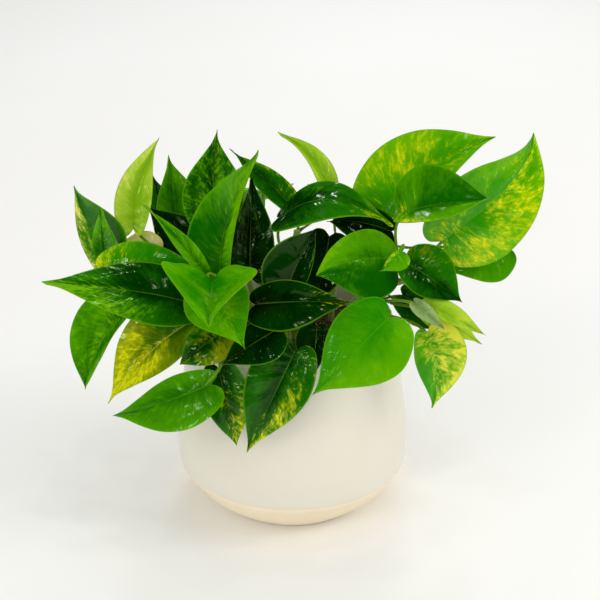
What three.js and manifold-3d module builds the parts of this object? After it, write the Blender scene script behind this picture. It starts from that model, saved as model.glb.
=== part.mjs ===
// A potted pothos: a rounded ceramic pot with an unglazed clay foot, filled with soil, and eight leafy vines.
// Millimetres. +Z is up, the front of the plant is -Y. The origin is the centre of the pot's base, on the table.
import * as THREE from "three";
import { mergeVertices } from "three/addons/utils/BufferGeometryUtils.js";
import Module from "manifold-3d";

// Pot
const POT_HEIGHT = 150; // base to rim
const POT_SEGMENTS = 44;
const POT_OUTSIDE = [
  // radius, height: foot ring, clay band, glazed belly, shoulder
  [58, 0],
  [60, 1.5],
  [75, 14],
  [84, 26],
  [88, 34],
  [89, 46],
  [88.6, 60],
  [83.5, 100],
  [76, 147],
];
const POT_INSIDE = [
  // radius, height: neck, belly, floor
  [71, 147],
  [75, 124],
  [78.5, 100],
  [83.5, 50],
  [79, 30],
  [70, 18],
  [52, 8],
];
const RIM = [
  [75.3, POT_HEIGHT - 0.9],
  [73.5, POT_HEIGHT],
  [71.7, POT_HEIGHT - 0.9],
];
// Soil
const SOIL_TOP = 130; // height of the soil's surface at the wall
const SOIL_MOUND = 2.5; // rise of the surface at the middle
const SOIL_EDGE = 2.5; // the surface rounds off to the wall
const HOLE_SIDES = 8; // of the hole for a vine
const GAP = 0.3; // left between neighbours that touch
// Vines
const VINE_RADIUS = 2.6;
const VINE_FOOT = 98; // height of a vine's buried end
const VINE_BEND = 134; // height where a vine starts to bend
const VINE_SIDES = 6;
const VINE_STEPS = 11;
// Leaves
const BLADE_THICKNESS = 0.8;
const STALK_RADIUS = 1.1;
const STALK_SIDES = 4;
const STALK_STEPS = 5;
const STALK_SQUARE = 0.35; // share of its reach that a stalk runs square to the vine
const STALK_STRAIGHT = 0.3; // share of its reach that it runs in line with the blade
const STALK_DEPTH = 1.2; // depth of its centre under the blade's upper face
const STALK_HOLD = 5; // length grown into the midrib
const FIRST_LEAF = 0.35; // share of a vine's bent part where its lowest leaf stands
const STALK_FACING = 0.3; // place on the outline where the blade's face gives the stalk its underside
const LEAST_CURL = 0.1; // degrees, for a flat half blade
const STEP = 0.01; // shares of a blade over which its slope is measured, at its edge and across its midrib
const MIDDLE = 0.25;
const ACROSS = [-1, -0.5, 0, 0.5, 1]; // a blade's columns, from its right edge to its left edge

// Half of a blade's outline, from the notch at the stalk to the tip, and where the side veins to it start.
const OUTLINE = [
  // share of the length, share of the width, share of the length where the vein leaves the midrib
  [0, 0, 0],
  [-0.07, 0.13, 0.012],
  [-0.045, 0.3, 0.035],
  [0.1, 0.44, 0.09],
  [0.3, 0.5, 0.18],
  [0.52, 0.43, 0.33],
  [0.72, 0.265, 0.53],
  [0.87, 0.105, 0.74],
  [0.95, 0.035, 0.89],
  [1, 0, 1],
];

// Vines: the foot in the soil, the height that the stem first leans to, the point that bends it on, its end, and
// its leaves from the lowest to the last.
const VINES = [
  {
    name: "left", foot: [-42, -6], lift: 178, second: [-74, -4, 186], end: [-112, -10, 190],
    leaves: [
      "yellow_roof", "back_far_left", "left_fold", "cream_back", "lime_up", "left_small", "left_up",
    ],
  },
  {
    name: "left_front", foot: [-40, -36], lift: 160, second: [-46, -40, 162], end: [-50, -44, 170],
    leaves: ["low_left", "mottled", "left_gold", "far_left"],
  },
  {
    name: "front", foot: [-24, -28], lift: 170, second: [-32, -40, 184], end: [-46, -50, 198],
    leaves: ["below_scoop", "diag", "tall", "scoop"],
  },
  {
    name: "left_back", foot: [-28, 14], lift: 185, second: [-46, 16, 200], end: [-62, 18, 206],
    leaves: [
      "back_low_left", "back_mid_left", "inner_left", "top_spike", "back_left", "back_dark_a",
      "back_dark_b",
    ],
  },
  {
    name: "centre", foot: [0, -6], lift: 185, second: [0, -14, 205], end: [4, -16, 222],
    leaves: ["behind_tall", "inner_mid", "centre_dark", "roof_centre", "top_diag", "top_lime"],
  },
  {
    name: "centre_front", foot: [-2, -38], lift: 165, second: [-6, -50, 172], end: [-8, -58, 180],
    leaves: ["inner_right", "narrow_low", "stripe_low", "round_dark", "bright_tip"],
  },
  {
    name: "right", foot: [38, -14], lift: 178, second: [62, -30, 186], end: [84, -42, 196],
    leaves: [
      "dark_under", "two_tone", "heart", "grey_under", "lime_low", "centre_broad", "right_small",
      "olive_long", "hook", "right_dark", "right_big",
    ],
  },
  {
    name: "right_back", foot: [30, 22], lift: 185, second: [46, 22, 205], end: [62, 18, 214],
    leaves: [
      "back_low_right", "back_mid_right", "right_back", "inner_top", "back_right", "right_under",
    ],
  },
];

// A stalk that has to pass round a neighbour: how far its middle is pushed aside.
const STALK_BOW = {
  low_left: [0, -4, 16],
  narrow_low: [0, 0, 12],
  scoop: [-12, 12, 8],
  hook: [4, 18, 4],
  stripe_low: [-10, 0, 0],
  right_under: [-40, 8, -4],
  lime_low: [0, -4, 0],
  olive_long: [5, 0, -4],
  left_small: [0, -3, -3],
};

// Leaves: colour, base, tip, the way the face looks, and twice the width of the left and of the right half, left as
// seen from the base with the face up. Then the midrib's rise and sway at one third and two thirds of its length, the
// fold and curl of the left and of the right half in degrees, and how much the tip is drawn out.
const LEAVES = [
  ["far_left", "dark", [-70, -62, 187], [-167, -80, 211], [0.05, -0.62, 0.78], [44, 46],
    [12, 2], [0, 0], [4, 14], [-20, -15], 0.35],
  ["left_fold", "green", [-120, -40, 170], [-148, -60, 118], [-0.75, -0.62, 0.25], [30, 64],
    [4, 3], [-8, -5], [20, 20], [-10, -10], 0.2],
  ["left_gold", "gold", [-71, -55, 169], [-130, -74, 114], [-0.25, -0.85, 0.45], [45, 54],
    [4, 4], [-7, -4], [30, 5], [0, 0], 0.5],
  ["low_left", "green", [-54, -98, 143], [-124, -92, 115], [0.08, -0.87, 0.5], [47, 30],
    [6, 2], [2, 4], [20, 6], [-20, -12], 0.3],
  ["mottled", "mottled", [-45, -76, 174], [-76, -91, 154], [0, -0.85, 0.5], [34, 30],
    [4, 2], [0, 0], [10, 10], [0, 0], -0.3],
  ["yellow_roof", "yellow", [-131, -43, 202], [-67, -40, 208], [-0.05, -0.8, 0.6], [39, 23],
    [6, 4], [0, 0], [10, 10], [-10, -10], 0],
  ["left_up", "stripe", [-138, -12, 195], [-156, 0, 251], [-0.35, -0.85, -0.1], [19, 65],
    [-3, 2], [0, 0], [30, 10], [0, 0], 0.1],
  ["left_small", "green", [-132, -25, 203], [-134, -25, 243], [-0.2, -0.95, 0.1], [17, 28],
    [0, 0], [0, 0], [25, 20], [0, 0], 0.3],
  ["cream_back", "cream", [-97, -6, 202], [-129, -8, 207], [0, -0.6, 0.8], [15, 27],
    [5, 5], [0, 0], [12, 12], [0, 0], 0.3],
  ["lime_up", "lime", [-114, -8, 221], [-94, 8, 284], [0.3, -0.9, 0], [34, 24],
    [-6, -4], [6, 5], [20, 35], [-10, -10], 0.5],
  ["diag", "green", [-57, -46, 199], [-103, -36, 251], [0.62, -0.2, 0.6], [20, 17],
    [3, 2], [0, 0], [10, 10], [0, 0], 0.3],
  ["back_dark_a", "dark", [-84, 20, 201], [-92, 44, 260], [0.1, -0.95, 0.1], [31, 44],
    [-5, -6], [0, 0], [20, 20], [-10, -10], 0.5],
  ["back_dark_b", "dark", [-91, 36, 201], [-107, 50, 243], [-0.2, -0.9, 0.2], [23, 28],
    [-3, -4], [0, 0], [15, 15], [0, 0], 0.3],
  ["scoop", "bright", [-53, -76, 210], [-52, -134, 203], [0, -0.35, 0.93], [73, 82],
    [-8, 4], [0, 0], [38, 44], [-8, -10], 0.2],
  ["below_scoop", "bright", [-58, -68, 201], [-30, -108, 174], [0, -0.62, 0.78], [45, 45],
    [8, 8], [0, 0], [8, 8], [-12, -12], 0.5],
  ["tall", "green", [-50, -33, 190], [-23, -11, 281], [0.1, -0.98, 0.05], [51, 20],
    [-8, -4], [13, 5], [8, 55], [-12, -10], 0.3],
  ["behind_tall", "dark", [-30, -18, 188], [-28, 0, 258], [0.3, -0.92, 0.1], [40, 36],
    [-4, 0], [0, 0], [25, 25], [0, 0], 0.3],
  ["top_spike", "dark", [-59, -2, 222], [-54, 26, 285], [0, -0.98, 0.05], [45, 47],
    [-4, -4], [0, 0], [20, 20], [-12, -12], 0.8],
  ["top_diag", "dark", [5, 6, 227], [-46, 34, 268], [0.3, -0.3, 0.9], [31, 28],
    [4, 2], [0, 0], [10, 5], [0, 0], 0.4],
  ["top_lime", "lime", [28, 16, 238], [-10, 30, 282], [0.6, -0.7, -0.1], [16, 20],
    [4, 2], [-9, -7], [30, 30], [0, 0], 0.4],
  ["roof_centre", "dark", [-7, -34, 241], [70, -48, 238], [0, -0.15, 0.99], [58, 50],
    [24, 20], [0, 0], [3, -3], [-10, -10], 0.2],
  ["centre_dark", "dark", [-3, -57, 194], [17, -50, 237], [0.1, -0.95, 0.25], [45, 22],
    [4, 4], [3, 2], [12, 12], [-8, -8], -0.7],
  ["bright_tip", "dark", [-24, -84, 196], [44, -106, 207], [0, -0.75, 0.66], [30, 40],
    [8, 5], [0, 0], [20, 4], [-15, -10], 0.9],
  ["centre_broad", "green", [70, -42, 212], [17, -68, 210], [0.12, -0.88, 0.45], [58, 41],
    [8, 3], [-4, -7], [6, 6], [-12, -12], -0.8],
  ["heart", "bright", [66, -88, 189], [14, -114, 143], [-0.05, -0.86, 0.5], [63, 51],
    [4, 2], [0, 0], [5, 5], [-6, -6], 0.55],
  ["two_tone", "gold", [95, -62, 165], [100, -70, 108], [0.2, -0.95, 0.2], [45, 31],
    [4, 1], [7, 5], [8, 14], [-8, -8], 0],
  ["right_big", "speckle", [108, -20, 216], [171, 4, 289], [0.2, -0.9, 0.4], [64, 76],
    [4, 2], [-4, -22], [22, -4], [-8, -8], -0.4],
  ["right_dark", "dark", [77, -30, 242], [137, -36, 254], [-0.05, -0.8, 0.6], [63, 38],
    [8, 6], [0, 0], [2, 42], [-8, 0], 0.1],
  ["right_back", "speckle", [62, 6, 227], [150, 34, 277], [-0.1, -0.95, 0.3], [68, 36],
    [6, 6], [10, 9], [6, 10], [-8, -8], 0.2],
  ["right_under", "green", [158, 14, 199], [114, 2, 182], [0, -0.75, 0.65], [47, 22],
    [4, 4], [0, 0], [5, 5], [-10, -10], 0.2],
  ["olive_long", "olive", [80, -49, 212], [119, -57, 185], [0.2, -0.85, 0.45], [43, 31],
    [5, 2], [0, 0], [12, 12], [-10, -10], 0.2],
  ["lime_low", "lime", [93, -50, 178], [135, -56, 152], [0.1, -0.85, 0.5], [21, 20],
    [3, 2], [0, 0], [10, 10], [-6, -6], 0.6],
  ["right_small", "lime", [95, -60, 185], [135, -68, 165], [0.15, -0.85, 0.5], [18, 12],
    [2, 2], [0, 0], [10, 10], [-6, -6], 0.5],
  ["hook", "bright", [75, -66, 227], [60, -72, 215], [-0.2, -0.9, 0.35], [21, 7],
    [3, 1], [0, 0], [10, 20], [0, 0], 0.4],
  ["grey_under", "grey", [84, -70, 191], [105, -76, 174], [0.2, -0.9, 0.4], [11, 12],
    [0, 0], [0, 0], [10, 10], [0, 0], 0],
  ["dark_under", "dark", [79, -32, 180], [117, -42, 156], [0.1, -0.85, 0.5], [25, 31],
    [3, 2], [0, 0], [8, 8], [0, 0], 0.2],
  ["stripe_low", "stripe", [3, -90, 165], [-31, -104, 92], [-0.05, -0.95, 0.3], [45, 47],
    [4, 2], [0, 0], [8, 8], [-6, -6], 0.4],
  ["narrow_low", "stripe", [-50, -84, 148], [-38, -99, 95], [0, -0.97, 0.2], [34, 30],
    [3, 2], [0, 0], [8, 8], [0, 0], -0.4],
  ["round_dark", "dark", [-10, -90, 180], [-46, -106, 162], [0, -0.75, 0.65], [36, 26],
    [4, 3], [0, 0], [6, 6], [-6, -6], 0],
  ["inner_right", "dark", [18, -74, 175], [14, -88, 141], [0.2, -0.93, 0.3], [19, 30],
    [0, 0], [0, 0], [10, 10], [0, 0], 0.2],
  ["inner_left", "dark", [-64, 7, 189], [-107, 18, 229], [0, -0.85, 0.5], [40, 38],
    [6, 4], [0, 0], [10, 10], [0, 0], 0.3],
  ["inner_mid", "dark", [27, -20, 220], [17, -44, 176], [0.05, -0.9, 0.4], [37, 38],
    [4, 4], [0, 0], [10, 10], [0, 0], 0],
  ["inner_top", "dark", [72, -8, 219], [25, -4, 225], [0, -0.6, 0.8], [38, 29],
    [8, 8], [0, 0], [5, 5], [0, 0], 0],
  ["back_left", "green", [-56, 54, 206], [-92, 100, 168], [-0.4, 0.6, 0.7], [54, 54],
    [10, 2], [0, 0], [12, 12], [0, 0], 0.3],
  ["back_mid_left", "speckle", [-22, 56, 226], [-34, 116, 190], [-0.1, 0.65, 0.75], [56, 56],
    [12, 2], [0, 0], [12, 12], [0, 0], 0.3],
  ["back_mid_right", "dark", [34, 54, 226], [50, 114, 188], [0.1, 0.65, 0.75], [56, 56],
    [12, 2], [0, 0], [12, 12], [0, 0], 0.3],
  ["back_right", "green", [86, 40, 216], [122, 86, 180], [0.4, 0.6, 0.7], [52, 52],
    [10, 2], [0, 0], [12, 12], [0, 0], 0.3],
  ["back_far_left", "stripe", [-104, 14, 196], [-150, 34, 150], [-0.6, 0.4, 0.7], [46, 46],
    [8, 2], [0, 0], [12, 12], [0, 0], 0.3],
  ["back_low_left", "speckle", [-44, 82, 168], [-62, 104, 112], [-0.3, 0.9, 0.3], [50, 50],
    [6, 2], [0, 0], [12, 12], [0, 0], 0.3],
  ["back_low_right", "green", [26, 88, 168], [34, 112, 108], [0.1, 0.95, 0.3], [52, 52],
    [6, 2], [0, 0], [12, 12], [0, 0], 0.3],
].map(([name, colour, base, tip, facing, width, rise, sway, fold, curl, taper]) => ({
  name, colour, base: vector(base), tip: vector(tip), facing: vector(facing), width, rise, sway, fold, curl, taper,
}));

// Colours
const GLAZE = 0xefece2;
const SOIL = 0x3a2a1e;
const VINE = 0x6d9a3a;
const BLADES = {
  dark: 0x1c5a14, green: 0x2f7d16, bright: 0x4a9a12, gold: 0x8d9a22, mottled: 0x55701c, yellow: 0x9bb428,
  cream: 0xd8c98a, lime: 0x8fbc34, stripe: 0x2a6a16, speckle: 0x66a81c, olive: 0x5a7d1c, grey: 0x8a9c78,
};

const wasm = await Module();
wasm.setup();

function vector([x, y, z]) {
  return new THREE.Vector3(x, y, z);
}

// Bodies are joined and cut as closed solids, whose shared corners are merged.
function solidOf(geometry) {
  const bare = geometry.clone();
  bare.deleteAttribute("normal");
  bare.deleteAttribute("uv");
  const merged = mergeVertices(bare, 1e-4);
  return new wasm.Manifold(new wasm.Mesh({
    numProp: 3,
    vertProperties: new Float32Array(merged.attributes.position.array),
    triVerts: new Uint32Array(merged.index.array),
  }));
}

function geometryOf(solid) {
  const mesh = solid.getMesh();
  const geometry = new THREE.BufferGeometry();
  geometry.setAttribute("position", new THREE.BufferAttribute(mesh.vertProperties, 3));
  geometry.setIndex(new THREE.BufferAttribute(mesh.triVerts, 1));
  return geometry;
}

// A body turned about the upright axis; its profile starts and ends on the axis.
function turned(profile) {
  const points = profile.map(([radius, height]) => new THREE.Vector2(radius, height));
  return new THREE.LatheGeometry(points, POT_SEGMENTS).rotateX(Math.PI / 2);
}

// A rod with a regular many-sided section along a curve.
function rod(path, radius, sides, steps) {
  const corners = Array.from({ length: sides }, (_, k) => {
    const angle = (2 * Math.PI * k) / sides;
    return new THREE.Vector2(radius * Math.cos(angle), radius * Math.sin(angle));
  });
  return new THREE.ExtrudeGeometry(new THREE.Shape(corners), { steps, extrudePath: path });
}

// The pot's inner radius at a height.
function insideRadius(height) {
  const i = POT_INSIDE.findIndex((point) => point[1] < height);
  const [above, below] = [POT_INSIDE[i - 1], POT_INSIDE[i]];
  return THREE.MathUtils.mapLinear(height, below[1], above[1], below[0], above[0]);
}

// Pot: its floor, the outside up to the rim, over the rim, down the inside and across the floor.
function potGeometry() {
  const floor = POT_INSIDE.at(-1)[1];
  return turned([[0, 0], ...POT_OUTSIDE, ...RIM, ...POT_INSIDE, [0, floor]]);
}

// Soil: fills the pot to below its rim, a hair clear of the wall, with a plain hole for each vine.
function soilGeometry() {
  const floor = POT_INSIDE.at(-1);
  const wall = POT_INSIDE.slice(0, -1).filter((point) => point[1] < SOIL_TOP - SOIL_EDGE).reverse();
  const edge = insideRadius(SOIL_TOP) - GAP;
  const profile = [
    [0, floor[1] + GAP],
    [floor[0], floor[1] + GAP],
    ...wall.map(([radius, height]) => [radius - GAP, height]),
    [edge, SOIL_TOP - SOIL_EDGE],
    [edge - SOIL_EDGE, SOIL_TOP],
    [edge / 2, SOIL_TOP + SOIL_MOUND * Math.cos(Math.PI / 4)],
    [0, SOIL_TOP + SOIL_MOUND],
  ];
  let soil = solidOf(turned(profile));
  const radius = VINE_RADIUS + 2 * GAP;
  for (const { foot } of VINES) {
    const hole = new THREE.CylinderGeometry(radius, radius, SOIL_TOP, HOLE_SIDES).rotateX(Math.PI / 2);
    hole.translate(foot[0], foot[1], VINE_FOOT - GAP + SOIL_TOP / 2);
    soil = soil.subtract(solidOf(hole));
  }
  return geometryOf(soil);
}

// The bent part of a vine; its buried foot stands straight under it.
function bentPart({ foot, lift, second, end }) {
  const start = vector([...foot, VINE_BEND]);
  return new THREE.CubicBezierCurve3(start, vector([...foot, lift]), vector(second), vector(end));
}

function vineGeometry(vine) {
  const path = new THREE.CurvePath();
  path.add(new THREE.LineCurve3(vector([...vine.foot, VINE_FOOT]), vector([...vine.foot, VINE_BEND])));
  path.add(bentPart(vine));
  return rod(path, VINE_RADIUS, VINE_SIDES, VINE_STEPS);
}

// A leaf's midrib, and the direction square to it that the blade's upper face looks in.
function midribOf({ base, tip, facing, rise, sway }) {
  const along = tip.clone().sub(base).normalize();
  const side = facing.clone().cross(along).normalize();
  const up = along.clone().cross(side);
  const bend = (share, k) => base.clone().lerp(tip, share)
    .addScaledVector(up, rise[k])
    .addScaledVector(side, sway[k]);
  return { curve: new THREE.CubicBezierCurve3(base, bend(1 / 3, 0), bend(2 / 3, 1), tip), up };
}

const outlineCurve = new THREE.SplineCurve(OUTLINE.map(([length, width]) => new THREE.Vector2(length, width)));
const veinCurve = new THREE.SplineCurve(OUTLINE.map(([, , start]) => new THREE.Vector2(start, 0)));

// The point of a blade's upper face at t along the outline and v across, from -1 at the right edge to 1 at the left.
// A half blade leaves the midrib at its fold angle and curls by its curl angle out to the widest part of its edge.
function bladePoint(leaf, midrib, t, v) {
  const half = v > 0 ? 0 : 1;
  const out = Math.abs(v);
  const edge = outlineCurve.getPoint(t);
  const x = THREE.MathUtils.lerp(veinCurve.getPoint(t).x, edge.x, out);
  const on = THREE.MathUtils.clamp(x, 0, 1);
  const reach = 2 * edge.y * out * (1 - leaf.taper * on ** 4);
  const along = midrib.curve.getTangent(on);
  const side = midrib.up.clone().cross(along).normalize();
  const normal = along.clone().cross(side);
  const fold = THREE.MathUtils.degToRad(leaf.fold[half]);
  const curl = THREE.MathUtils.degToRad(leaf.curl[half] || LEAST_CURL);
  const radius = leaf.width[half] / 2 / curl;
  const past = midrib.curve.v1.clone().sub(midrib.curve.v0).multiplyScalar(3 * (x - on));
  return midrib.curve.getPoint(on).add(past)
    .addScaledVector(side, Math.sign(v) * radius * (Math.sin(fold + curl * reach) - Math.sin(fold)))
    .addScaledVector(normal, radius * (Math.cos(fold) - Math.cos(fold + curl * reach)));
}

// The direction that a blade's upper face looks in; on the midrib, the mean of its two halves.
function bladeNormal(leaf, midrib, t, v) {
  const inner = THREE.MathUtils.clamp(t, 2 * STEP, 1 - 2 * STEP);
  const [from, to] = v === 0 ? [-MIDDLE, MIDDLE] : [Math.max(v - STEP, -1), Math.min(v + STEP, 1)];
  const along = bladePoint(leaf, midrib, inner + STEP, v).sub(bladePoint(leaf, midrib, inner - STEP, v));
  const across = bladePoint(leaf, midrib, inner, to).sub(bladePoint(leaf, midrib, inner, from));
  return along.cross(across).normalize();
}

// A blade: two like grids, one a blade's thickness under the other, joined round the outline.
function bladeGeometry(leaf, midrib) {
  const rows = OUTLINE.length - 1;
  const points = [];
  const addPoint = (t, v, depth) => {
    points.push(bladePoint(leaf, midrib, t, v).addScaledVector(bladeNormal(leaf, midrib, t, v), -depth));
    return points.length - 1;
  };
  const gridAt = (depth) => Array.from({ length: rows + 1 }, (_, i) => {
    if (i === 0 || i === rows) return Array(ACROSS.length).fill(addPoint(i / rows, 0, depth));
    return ACROSS.map((v) => addPoint(i / rows, v, depth));
  });
  const upper = gridAt(0);
  const lower = gridAt(BLADE_THICKNESS);
  const faces = [];
  const addFace = (a, b, c) => {
    if (a !== b && b !== c && c !== a) faces.push(a, b, c);
  };
  const last = ACROSS.length - 1;
  for (let i = 0; i < rows; i += 1) {
    for (let j = 0; j < last; j += 1) {
      addFace(upper[i][j], upper[i + 1][j], upper[i + 1][j + 1]);
      addFace(upper[i][j], upper[i + 1][j + 1], upper[i][j + 1]);
      addFace(lower[i][j], lower[i + 1][j + 1], lower[i + 1][j]);
      addFace(lower[i][j], lower[i][j + 1], lower[i + 1][j + 1]);
    }
    addFace(upper[i][0], lower[i][0], lower[i + 1][0]);
    addFace(upper[i][0], lower[i + 1][0], upper[i + 1][0]);
    addFace(upper[i][last], lower[i + 1][last], lower[i][last]);
    addFace(upper[i][last], upper[i + 1][last], lower[i + 1][last]);
  }
  const geometry = new THREE.BufferGeometry();
  geometry.setAttribute("position", new THREE.Float32BufferAttribute(points.flatMap((p) => p.toArray()), 3));
  geometry.setIndex(faces);
  return geometry;
}

// A stalk: it leaves its vine square to it, a hair clear, bends over and runs into the underside of the midrib.
function stalkGeometry(leaf, midrib, vine, u) {
  const bent = bentPart(vine);
  const root = bent.getPoint(u);
  const vineWay = bent.getTangent(u);
  const out = leaf.base.clone().sub(root).projectOnPlane(vineWay).normalize();
  const start = root.addScaledVector(out, VINE_RADIUS + GAP);
  const reach = leaf.base.distanceTo(start);
  const bow = vector(STALK_BOW[leaf.name] || [0, 0, 0]);
  const under = bladeNormal(leaf, midrib, STALK_FACING, 0).multiplyScalar(-STALK_DEPTH);
  const hold = STALK_HOLD / midrib.curve.getLength();
  const path = new THREE.CubicBezierCurve3(
    start,
    start.clone().addScaledVector(out, STALK_SQUARE * reach).addScaledVector(bow.clone().projectOnPlane(out), 0.5),
    leaf.base.clone().addScaledVector(midrib.curve.getTangent(0), -STALK_STRAIGHT * reach).add(bow).add(under),
    midrib.curve.getPoint(hold).add(under),
  );
  return rod(path, STALK_RADIUS, STALK_SIDES, STALK_STEPS);
}

// A leaf: its blade and its stalk, grown together.
function leafGeometry(leaf) {
  const vine = VINES.find(({ leaves }) => leaves.includes(leaf.name));
  const place = vine.leaves.indexOf(leaf.name) / (vine.leaves.length - 1);
  const midrib = midribOf(leaf);
  const blade = solidOf(bladeGeometry(leaf, midrib));
  const stalk = solidOf(stalkGeometry(leaf, midrib, vine, THREE.MathUtils.lerp(FIRST_LEAF, 1, place)));
  return geometryOf(blade.add(stalk));
}

const plant = new THREE.Group();
plant.name = "potted_pothos";

function addMesh(name, geometry, color, roughness) {
  const mesh = new THREE.Mesh(geometry, new THREE.MeshStandardMaterial({ name, color, roughness, metalness: 0 }));
  mesh.name = name;
  plant.add(mesh);
}

addMesh("pot", potGeometry(), GLAZE, 0.3);
addMesh("soil", soilGeometry(), SOIL, 1);
for (const vine of VINES) addMesh(`vine_${vine.name}`, vineGeometry(vine), VINE, 0.5);
for (const leaf of LEAVES) addMesh(`leaf_${leaf.name}`, leafGeometry(leaf), BLADES[leaf.colour], 0.35);

export default plant;
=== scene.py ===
# %% [markdown]
# # A potted pothos
# The plant is a pot of soil with eight trailing vines and fifty leaves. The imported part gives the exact
# place of every piece. This lesson dresses it: each plain solid is replaced by a finer piece of the same
# form, and each surface gets a finish made of nodes. The plant's lengths are written in millimetres and
# turned into metres with MM, because the part is in metres. Only the table and the lamps are in metres
# from the start.

# %% Load the part
import math
import random
import bmesh
import bpy
from mathutils import Matrix, Vector, noise


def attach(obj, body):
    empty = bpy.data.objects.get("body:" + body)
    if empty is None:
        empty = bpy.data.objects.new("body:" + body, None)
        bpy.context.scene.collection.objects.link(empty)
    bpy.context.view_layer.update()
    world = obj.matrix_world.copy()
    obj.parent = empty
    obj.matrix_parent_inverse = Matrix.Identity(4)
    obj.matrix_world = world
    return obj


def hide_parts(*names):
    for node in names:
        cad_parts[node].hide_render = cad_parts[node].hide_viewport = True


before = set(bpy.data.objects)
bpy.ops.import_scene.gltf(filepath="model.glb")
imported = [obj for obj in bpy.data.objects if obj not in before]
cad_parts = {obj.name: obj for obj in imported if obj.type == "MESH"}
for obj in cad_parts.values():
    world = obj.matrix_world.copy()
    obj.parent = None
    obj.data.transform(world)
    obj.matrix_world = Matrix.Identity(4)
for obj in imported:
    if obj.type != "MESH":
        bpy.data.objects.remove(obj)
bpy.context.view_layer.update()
MM = 0.001
print("nodes in the part:", len(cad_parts))

# %% [markdown]
# Colours are easiest to judge as they look on a screen, from 0 to 255. The shader wants them as amounts
# of light, so one small function turns one into the other.

# %% Colours as seen
def paint(red, green, blue):
    light = [(c / 255) ** 2.2 for c in (red, green, blue)]
    return (*light, 1)


# %% [markdown]
# A finish is a tree of shader nodes. It could be wired node by node, but then each sum takes several
# lines. So a small class wraps a socket, and an expression on it adds the Math nodes. A second class
# holds the tree, adds any other node, and mixes colours.

# %% Shader sums as expressions
class Wire:
    """The output of a node. Sums with numbers or other wires add Math nodes."""

    def __init__(self, finish, socket):
        self.finish = finish
        self.socket = socket

    def __add__(self, other):
        return self.finish.sum("ADD", self, other)

    def __sub__(self, other):
        return self.finish.sum("SUBTRACT", self, other)

    def __rsub__(self, other):
        return self.finish.sum("SUBTRACT", other, self)

    def __mul__(self, other):
        return self.finish.sum("MULTIPLY", self, other)

    def __abs__(self):
        return self.finish.sum("ABSOLUTE", self)

    __radd__ = __add__
    __rmul__ = __mul__


class Finish:
    """A material and the nodes that feed its Principled shader."""

    def __init__(self, name):
        self.material = bpy.data.materials.new(name)
        self.material.use_nodes = True
        self.nodes = self.material.node_tree.nodes
        self.links = self.material.node_tree.links
        self.shader = self.nodes["Principled BSDF"]

    def feed(self, socket, value):
        if isinstance(value, Wire):
            self.links.new(value.socket, socket)
        else:
            socket.default_value = value

    def add(self, kind, settings=None, inputs=None, output=0):
        node = self.nodes.new(kind)
        for key, value in (settings or {}).items():
            setattr(node, key, value)
        for key, value in (inputs or {}).items():
            self.feed(node.inputs[key], value)
        return Wire(self, node.outputs[output])

    def sum(self, operation, *values):
        return self.add("ShaderNodeMath", {"operation": operation}, dict(enumerate(values)))

    def mix(self, factor, first, second):
        settings = {"data_type": "RGBA", "clamp_factor": True}
        return self.add("ShaderNodeMix", settings, {0: factor, 6: first, 7: second}, 2)

    def step(self, value, low, high):
        settings = {"interpolation_type": "SMOOTHSTEP"}
        inputs = {"Value": value, "From Min": low, "From Max": high}
        return self.add("ShaderNodeMapRange", settings, inputs)

    def noise(self, vector, scale, detail=4, roughness=0.55, distortion=0, seed=0):
        inputs = {"Vector": vector, "W": seed, "Scale": scale, "Detail": detail}
        inputs.update({"Roughness": roughness, "Distortion": distortion})
        return self.add("ShaderNodeTexNoise", {"noise_dimensions": "4D"}, inputs)

    def vector(self, x, y, z):
        return self.add("ShaderNodeCombineXYZ", {}, {0: x, 1: y, 2: z})

    def place(self):
        return self.add("ShaderNodeTexCoord", {}, {}, "Object")

    def attribute(self, name):
        return self.add("ShaderNodeAttribute", {"attribute_name": name}, {}, "Fac")

    def parts(self, vector):
        first = self.add("ShaderNodeSeparateXYZ", {}, {0: vector})
        return [Wire(self, out) for out in first.socket.node.outputs]

    def set(self, **values):
        for key, value in values.items():
            self.feed(self.shader.inputs[key.replace("_", " ")], value)

    def bump(self, height, strength, distance):
        inputs = {"Height": height, "Strength": strength, "Distance": distance}
        self.feed(self.shader.inputs["Normal"], self.add("ShaderNodeBump", {}, inputs))


# %% [markdown]
# Every piece ends the same way: its bmesh becomes an object at the origin, shaded smooth, with its
# finish. It rides on the part's only body and, unless it is an extra one, hides the plain solid that it
# stands for.

# %% From a bmesh to a finished piece
def object_from(bm, name, finish):
    mesh = bpy.data.meshes.new(name)
    bm.to_mesh(mesh)
    bm.free()
    mesh.materials.append(finish.material)
    made = bpy.data.objects.new(name, mesh)
    bpy.context.scene.collection.objects.link(made)
    return made


def piece_from(bm, name, finish, replaced):
    for face in bm.faces:
        face.smooth = True
    piece = object_from(bm, name, finish)
    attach(piece, "root")
    if replaced:
        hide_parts(replaced)
    return piece


# %% [markdown]
# The pot is thrown on a wheel, so its wall is one outline turned about the axis. The part holds that
# outline as a few points. A smooth curve through them gives the soft belly of the real pot. A Screw
# modifier could turn it too, but Spin makes the mesh at once, and the doubles on the axis can be merged.

# %% The pot's outline
POT_HEIGHT = 150
POT_OUTSIDE = [(75, 14), (84, 26), (88, 34), (89, 46), (88.6, 60), (83.5, 100), (76, 147)]
POT_INSIDE = [(71, 147), (75, 124), (78.5, 100), (83.5, 50), (79, 30), (70, 18), (52, 8)]
POT_FOOT = [(0, 0.4), (50, 0.4), (54, 0), (58, 0), (59.4, 0.5), (60.6, 1.6)]
POT_RIM = [(75.6, 148.6), (74.9, 149.6), (73.5, POT_HEIGHT), (72.2, 149.6), (71.5, 148.6)]
OUTSIDE_STEPS = 56
INSIDE_STEPS = 44
SPIN_STEPS = 160


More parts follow.
